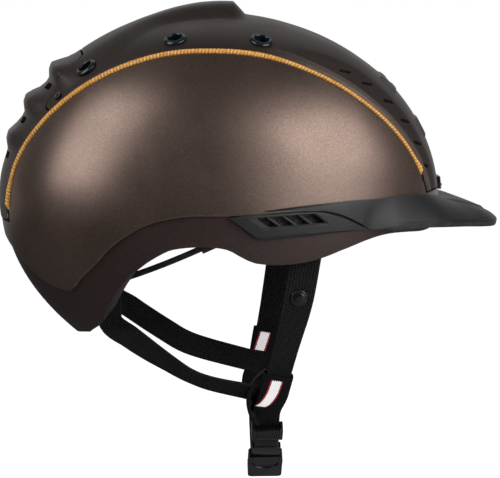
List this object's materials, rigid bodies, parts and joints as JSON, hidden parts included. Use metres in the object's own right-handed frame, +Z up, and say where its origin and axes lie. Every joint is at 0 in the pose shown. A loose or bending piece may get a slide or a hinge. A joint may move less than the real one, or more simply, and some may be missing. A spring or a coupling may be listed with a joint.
{
  "type": "riding helmet",
  "caption": "Riding helmet with a two-tone bronze shell, gold cord, pull-off black peak, dial-fitted head ring and a black webbing chin harness.",
  "frame": {"origin": "centre of the wearer's head inside the helmet, 118 mm under the crown", "axes": "+X to the front over the peak, +Y to the wearer's left, +Z up through the crown"},
  "size_m": [0.3136, 0.2168, 0.3027],
  "materials": {
    "bronze_shell": "satin metallic lacquer",
    "dark_bronze_cover": "fine matt texture",
    "plum_shell": "satin",
    "satin_black": "satin",
    "gloss_black": "gloss",
    "eyelet_teal": "gloss",
    "foam_black": "beaded foam",
    "pad_fabric": "knitted cover",
    "webbing_black": "woven webbing",
    "keeper_elastic": "elastic with a pale strip",
    "cord_gold": "braided cord",
    "steel": "plain"
  },
  "bodies": {
    "helmet": {"upper_shell": "bronze_shell", "lower_shell": "plum_shell", "crown_cover": "dark_bronze_cover", "rear_louvre": "dark_bronze_cover", "impact_liner": "foam_black", "crown_eyelets": "eyelet_teal", "louvre_screws": "gloss_black", "front_vent_lips": "gloss_black", "cord_right": "cord_gold", "cord_left": "cord_gold", "cord_plugs": "gloss_black", "vent_panel_right": "satin_black", "vent_panel_left": "satin_black", "visor_latch": "gloss_black", "latch_pin": "steel", "brow_pad": "pad_fabric", "crown_pad": "pad_fabric", "side_pad_right": "pad_fabric", "side_pad_left": "pad_fabric", "back_pad": "pad_fabric", "side_band_right": "satin_black", "side_band_left": "satin_black", "band_studs": "gloss_black", "strap_anchors": "gloss_black", "front_strap_right": "webbing_black", "front_strap_left": "webbing_black", "rear_strap_right": "webbing_black", "rear_strap_left": "webbing_black", "keeper_right": "keeper_elastic", "keeper_left": "keeper_elastic", "snap_caps": "gloss_black", "snap_sockets": "steel", "ladder_lock": "gloss_black", "chin_strap": "webbing_black", "buckle_male": "gloss_black", "buckle_female": "gloss_black"},
    "cradle": {"neck_cradle": "satin_black", "dial_housing": "satin_black", "nape_pad": "pad_fabric"},
    "dial": {"dial_pinion": "steel", "dial_knob": "satin_black", "dial_screw": "steel"},
    "rack_right": {"rack_right": "satin_black"},
    "rack_left": {"rack_left": "satin_black"},
    "peak": {"visor": "satin_black"},
    "prong_front": {"prong_front": "gloss_black"},
    "prong_rear": {"prong_rear": "gloss_black"}
  },
  "joints": [
    {"name": "cradle_slide", "type": "slide", "parent": "helmet", "child": "cradle", "axis": [0.915, 0, 0.4035], "range_m": [0, 0.0106]},
    {"name": "dial_turn", "type": "hinge", "parent": "cradle", "child": "dial", "pos_m": [-0.01538, 0, -0.02073], "axis": [0.915, 0, 0.4035], "range_deg": [0, 150]},
    {"name": "rack_right_draw", "type": "hinge", "parent": "cradle", "child": "rack_right", "pos_m": [-0.01538, 0, -0.02073], "axis": [0.4035, 0, -0.915], "range_deg": [0, 7.95]},
    {"name": "rack_left_draw", "type": "hinge", "parent": "cradle", "child": "rack_left", "pos_m": [-0.01538, 0, -0.02073], "axis": [-0.4035, 0, 0.915], "range_deg": [0, 7.95]},
    {"name": "visor_pull", "type": "slide", "parent": "helmet", "child": "peak", "axis": [1, 0, 0], "range_m": [0, 0.04]},
    {"name": "prong_front_press", "type": "hinge", "parent": "helmet", "child": "prong_front", "pos_m": [0.03355, -0.0238, -0.158], "axis": [0, 0.7071, 0.7071], "range_deg": [0, 10.5], "stiffness_Nm_per_rad": 0.7},
    {"name": "prong_rear_press", "type": "hinge", "parent": "helmet", "child": "prong_rear", "pos_m": [0.02165, -0.0238, -0.158], "axis": [0, -0.7071, -0.7071], "range_deg": [0, 10.5], "stiffness_Nm_per_rad": 0.7}
  ],
  "couplings": [
    {"joint": "cradle_slide", "follows": "dial_turn", "m_per_rad": 0.004},
    {"joint": "rack_right_draw", "follows": "dial_turn", "ratio": 0.052701},
    {"joint": "rack_left_draw", "follows": "dial_turn", "ratio": 0.052701}
  ]
}
